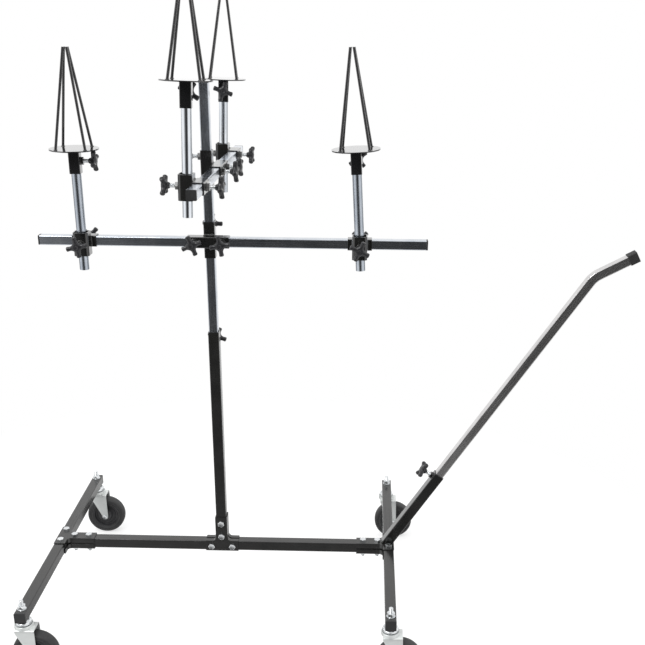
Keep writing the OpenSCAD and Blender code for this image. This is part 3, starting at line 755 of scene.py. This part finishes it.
def axle_mesh():
    """Axle bolt, nut and spacer bush, along +Y through the wheel, axle at the origin."""
    bm = bmesh.new()
    half = FORK_HALF + 0.05 * MM
    flats = 13 * MM
    head = 5 * MM
    nut = 6.5 * MM
    thread = 8.8 * MM
    pitch = 1.25 * MM
    bolt_r = 4 * MM
    shank_r = bolt_r - 0.01 * MM
    bush = 21.4 * MM
    front = axis_matrix((0, 0, 0), (0, -1, 0), 0.4)
    back = axis_matrix((0, 0, 0), (0, 1, 0), 0.9)
    add_hexagon(bm, flats, half, half + head, front)
    add_hexagon(bm, flats, half, half + nut, back, True)
    add_thread(bm, bolt_r, half, half + thread, pitch, back)
    add_solid_lathe(bm, [(shank_r, -half), (shank_r, half)], 24, back)
    spacer = [(bolt_r + 0.1 * MM, -bush), (BUSH_R, -bush), (BUSH_R, bush), (bolt_r + 0.1 * MM, bush)]
    add_lathe(bm, spacer, 32, back)
    return finish_mesh(bm, "axle", 35)


def stem_mesh():
    """Race plate, stud, rivet head, washer and nut above one fork."""
    bm = bmesh.new()
    plate = [(6.0, 155.3), (20.8, 155.3), (22.0, 156.2), (22.0, 160.5), (20.5, 162.5), (17.0, 164.0),
             (16.0, 166.9), (6.0, 166.9)]
    stud = [(7.5, 136.9), (9.6, 137.6), (10, 138.8), (9.6, 139.9), (6, 139.9), (6, 196)]
    washer = [(6.3, 197.0), (11.6, 197.0), (12.0, 197.4), (12.0, 198.6), (11.6, 199.0), (6.3, 199.0)]
    stud_r = 6 * MM
    thread_low = 195 * MM
    thread_top = 223 * MM
    pitch = 1.75 * MM
    nut_low = 199.05 * MM
    nut_top = 209 * MM
    flats = 19 * MM
    add_lathe(bm, in_metres(plate), 48)
    add_solid_lathe(bm, in_metres(stud), 32)
    add_thread(bm, stud_r, thread_low, thread_top, pitch, Matrix.Identity(4), 24)
    add_lathe(bm, in_metres(washer), 36)
    add_hexagon(bm, flats, nut_low, nut_top, Matrix.Rotation(0.3, 4, "Z"), True)
    return finish_mesh(bm, "stem", 35)


def ball_row_mesh():
    """Row of bearing balls in a caster's race."""
    bm = bmesh.new()
    row_r = 17 * MM
    row_z = 152.55 * MM
    ball_r = 2.65 * MM
    for place in circle_points(row_r, row_z, 17):
        spot = Matrix.Translation(place)
        bmesh.ops.create_uvsphere(bm, u_segments=12, v_segments=8, radius=ball_r, matrix=spot)
    return finish_mesh(bm, "balls", 180)


def casters():
    meshes = {"fork": fork_mesh(), "axle": axle_mesh(), "stem": stem_mesh(), "balls": ball_row_mesh()}
    for corner in CASTERS:
        swivel = Vector(joints["swivel_" + corner]["pos_m"])
        foot = Matrix.Translation((swivel.x, swivel.y, 0))
        axle = Matrix.Translation(Vector(joints["spin_" + corner]["pos_m"]))
        body = "fork_" + corner
        fork = mesh_object(body + "_sheet", meshes["fork"], FORK_ZINC, body, foot)
        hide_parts(body)
        mesh_object(body + "_axle", meshes["axle"], BRIGHT_ZINC, body, axle)
        stem = mesh_object("stem_" + corner, meshes["stem"], BRIGHT_ZINC, "frame", foot)
        balls = mesh_object("balls_" + corner, meshes["balls"], BRIGHT_ZINC, "frame", foot)
        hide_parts("caster_stems")
        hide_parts("swivel_bearings")


wheels()
casters()


# ------------------------------------------------------------------ welds

TUBE_HALF = 15 * MM       # half of a clamp sleeve's outside width
NUT_RING_R = 9.5 * MM
HOLDER_HALF = 14 * MM     # half of a rim holder's square sleeve
PLATE_TOP = 3 * MM        # top of the round plate above the holder's turning point
ROD_FOOT = 37 * MM        # half the side of the square on which the rods stand
ROD_R = 3.5 * MM


def nut_ring(bm, place, axis):
    """Bead round the foot of a welded nut."""
    matrix = axis_matrix(place, axis)
    ring = [matrix @ p for p in circle_points(NUT_RING_R, 0.2 * MM, 24)]
    add_bead(bm, ring + [ring[0]], 1.3 * MM, seed=place[2])


def add_seams(bm, spot, lines, radius):
    """Straight beads between pairs of points given in millimetres in a clamp's own frame."""
    for line in lines:
        add_bead(bm, [spot @ (Vector(point) * MM) for point in line], radius)


def mast_clamp_welds(bm, body):
    """Beads where the bar sleeve is welded beside the mast sleeve."""
    low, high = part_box(body)
    screw = Vector(joints["turn_knob_" + body.replace("_clamp", "")]["axis"])
    spot = frame_matrix((0, 0, (low.z + high.z) / 2), (0, 0, 1), screw.cross(Vector((0, 0, 1))))
    add_seams(bm, spot, [((s * 15.4, -15.4, -14), (s * 15.4, -15.4, 14)) for s in (-1, 1)], 2.0 * MM)
    add_seams(bm, spot, [((-14, -15.2, s * 15.2), (14, -15.2, s * 15.2)) for s in (-1, 1)], 2.2 * MM)


def post_clamp_welds(bm, side):
    """Beads where the tall post sleeve is welded to the bar sleeve."""
    screw = joints["turn_knob_" + side + "_bar"]
    outward = Vector(screw["axis"])
    along = Vector(joints[side + "_clamp_slide"]["axis"])
    spot = frame_matrix(Vector(screw["pos_m"]) - outward * TUBE_HALF, along.cross(outward), along)
    add_seams(bm, spot, [((s * 20.2, -15.3, -13), (s * 20.2, -15.3, 13)) for s in (-1, 1)], 1.9 * MM)
    add_seams(bm, spot, [((-19, -15.2, s * 15.2), (19, -15.2, s * 15.2)) for s in (-1, 1)], 1.9 * MM)


def holder_welds(bm, side):
    """Beads round the top of the square sleeve and round the feet of the four rods."""
    turn = joints[side + "_holder_turn"]
    spot = frame_matrix(turn["pos_m"], turn["axis"], joints["turn_knob_" + side + "_holder"]["axis"])
    ring = [spot @ Vector((sx * HOLDER_HALF, sy * HOLDER_HALF, -0.4 * MM)) for sx, sy in SQUARE]
    add_bead(bm, ring + [ring[0]], 1.8 * MM)
    for sx, sy in SQUARE:
        foot = Vector((sx * ROD_FOOT, sy * ROD_FOOT, PLATE_TOP + 0.2 * MM))
        blob = [spot @ (foot + p) for p in circle_points(ROD_R + 0.4 * MM, 0, 12)]
        add_bead(bm, blob + [blob[0]], 1.4 * MM, 4 * MM)


def weld_beads():
    """One mesh of beads for each painted body that carries welded nuts."""
    beads = {}
    for joint in frame["joints"]:
        if not joint["child"].startswith("knob_"):
            continue
        if joint["parent"] not in beads:
            beads[joint["parent"]] = bmesh.new()
        nut_ring(beads[joint["parent"]], joint["pos_m"], joint["axis"])
    for body in ("lower_mast_clamp", "upper_mast_clamp"):
        mast_clamp_welds(beads[body], body)
    for side in SIDES:
        post_clamp_welds(beads[side + "_post_clamp"], side)
        holder_welds(beads[side + "_rim_holder"], side)
    for body, bm in sorted(beads.items()):
        material = ROD_PAINT if "holder" in body else CLAMP_PAINT
        mesh_object("welds_" + body, finish_mesh(bm, "welds", 80), material, body)


weld_beads()


# ------------------------------------------------------------------ floor, light and camera

FLOOR_R = 400             # far enough for its edge to lie in the horizon


def pale_floor():
    """White floor with faint shadows under the stand, faded into the backdrop. It lights the
    stand from below less than its looks suggest."""
    bm = bmesh.new()
    add_rings(bm, [circle_points(FLOOR_R, -0.01, 96), circle_points(FLOOR_R, -0.0003, 96)])
    mesh = finish_mesh(bm, "floor")
    floor = bpy.data.objects.new("floor", mesh)
    bpy.context.scene.collection.objects.link(floor)
    material, tree, shader = new_material("pale_floor")
    link = tree.links.new
    shader.inputs["Base Color"].default_value = (0.5, 0.5, 0.5, 1)
    shader.inputs["Roughness"].default_value = 1.0
    shader.inputs["Specular IOR Level"].default_value = 0.0
    shader.inputs["Emission Color"].default_value = (1, 1, 1, 1)
    shader.inputs["Emission Strength"].default_value = 0.6
    place = add_node(tree, "ShaderNodeTexCoord").outputs["Object"]
    distance = add_node(tree, "ShaderNodeVectorMath", operation="LENGTH")
    link(place, distance.inputs[0])
    fade = add_node(tree, "ShaderNodeMapRange", {"From Min": 0.8, "From Max": 1.6})
    link(distance.outputs["Value"], fade.inputs["Value"])
    white = add_node(tree, "ShaderNodeEmission", {"Color": (1, 1, 1, 1), "Strength": 1.0})
    mixed = add_node(tree, "ShaderNodeMixShader")
    link(fade.outputs["Result"], mixed.inputs["Fac"])
    link(shader.outputs[0], mixed.inputs[1])
    link(white.outputs[0], mixed.inputs[2])
    dim = add_node(tree, "ShaderNodeEmission", {"Color": (1, 1, 1, 1), "Strength": 0.4})
    path = add_node(tree, "ShaderNodeLightPath")
    seen = add_node(tree, "ShaderNodeMixShader")
    link(path.outputs["Is Camera Ray"], seen.inputs["Fac"])
    link(dim.outputs[0], seen.inputs[1])
    link(mixed.outputs[0], seen.inputs[2])
    surface = next(n for n in tree.nodes if n.type == "OUTPUT_MATERIAL")
    link(seen.outputs[0], surface.inputs["Surface"])
    mesh.materials.append(material)
    floor.visible_glossy = False


def studio_world():
    """White all round to the camera and to matt surfaces. Shiny surfaces see a white room
    with a dim camera side and grey patches low on both sides."""
    world = bpy.data.worlds.new("studio")
    bpy.context.scene.world = world
    world.use_nodes = True
    tree = world.node_tree
    link = tree.links.new
    background = next(n for n in tree.nodes if n.type == "BACKGROUND")
    place = add_node(tree, "ShaderNodeTexCoord").outputs["Generated"]
    parts = add_node(tree, "ShaderNodeSeparateXYZ")
    link(place, parts.inputs[0])

    def ramp(value, start, end, low, high):
        made = add_node(tree, "ShaderNodeMapRange",
                        {"From Min": start, "From Max": end, "To Min": low, "To Max": high})
        link(value, made.inputs["Value"])
        return made.outputs["Result"]

    def combine(operation, a, b):
        made = add_node(tree, "ShaderNodeMath", operation=operation)
        for socket, value in zip(made.inputs, (a, b)):
            if isinstance(value, float):
                socket.default_value = value
            else:
                link(value, socket)
        return made.outputs[0]

    # each ramp runs between two values of one component of the unit direction vector
    away = ramp(parts.outputs["Y"], -0.90, -0.71, 0.0, 1.0)
    left = ramp(parts.outputs["X"], -0.22, -0.4, 0.0, 0.3)
    above = ramp(parts.outputs["Z"], 0.35, 0.85, 0.0, 0.9)
    beside = combine("MULTIPLY", ramp(parts.outputs["Y"], 0.0, 0.2, 0.0, 1.0),
                     ramp(parts.outputs["Y"], 0.88, 0.78, 0.0, 1.0))
    below = ramp(parts.outputs["Z"], -0.05, -0.12, 0.0, 0.65)
    room = combine("MAXIMUM", combine("MAXIMUM", away, left), above)
    bright = combine("SUBTRACT", room, combine("MULTIPLY", beside, below))
    shiny = add_node(tree, "ShaderNodeMath", {1: 1.0, 2: 0.045}, operation="MULTIPLY_ADD")
    link(bright, shiny.inputs[0])
    path = add_node(tree, "ShaderNodeLightPath")
    soft = ramp(parts.outputs["Z"], -0.2, 0.9, 0.75, 1.05)
    strength = add_node(tree, "ShaderNodeMix", data_type="FLOAT")
    link(path.outputs["Is Glossy Ray"], strength.inputs["Factor"])
    link(soft, strength.inputs["A"])
    link(shiny.outputs[0], strength.inputs["B"])
    seen = add_node(tree, "ShaderNodeMix", data_type="FLOAT")
    link(path.outputs["Is Camera Ray"], seen.inputs["Factor"])
    link(strength.outputs["Result"], seen.inputs["A"])
    seen.inputs["B"].default_value = 1.0
    link(seen.outputs["Result"], background.inputs["Strength"])
    background.inputs["Color"].default_value = (1, 1, 1, 1)


def soft_light(name, place, target, size, power):
    light = bpy.data.lights.new(name, "AREA")
    light.shape = "DISK"
    light.size = size
    light.energy = power
    lamp = bpy.data.objects.new(name, light)
    bpy.context.scene.collection.objects.link(lamp)
    lamp.location = place
    lamp.rotation_mode = "QUATERNION"
    lamp.rotation_quaternion = (Vector(target) - Vector(place)).to_track_quat("-Z", "Y")


def view_camera():
    """Standing viewer's camera, a little to the right, looking 21 degrees down."""
    data = bpy.data.cameras.new("camera")
    camera = bpy.data.objects.new("camera", data)
    bpy.context.scene.collection.objects.link(camera)
    data.sensor_width = 36
    data.lens = 54.81
    data.shift_x = -0.0430
    data.shift_y = 0.0877
    data.clip_start = 0.05
    data.clip_end = 1000
    eye = Vector((0.41915, -2.58663, 1.72528))
    # tilt, pan and roll as one axis times its angle, in radians
    tilt = Vector((0.37, 0.014, -0.017))
    right, ahead, up = Matrix.Rotation(tilt.length, 3, tilt.normalized())
    basis = Matrix((right, up, -ahead)).transposed()
    camera.matrix_world = Matrix.Translation(eye) @ basis.to_4x4()
    bpy.context.scene.camera = camera


pale_floor()
studio_world()
soft_light("key", (-1.6, -2.2, 3.6), (0, 0, 0.8), 1.8, 60)
view_camera()
bpy.context.scene.view_settings.view_transform = "Standard"
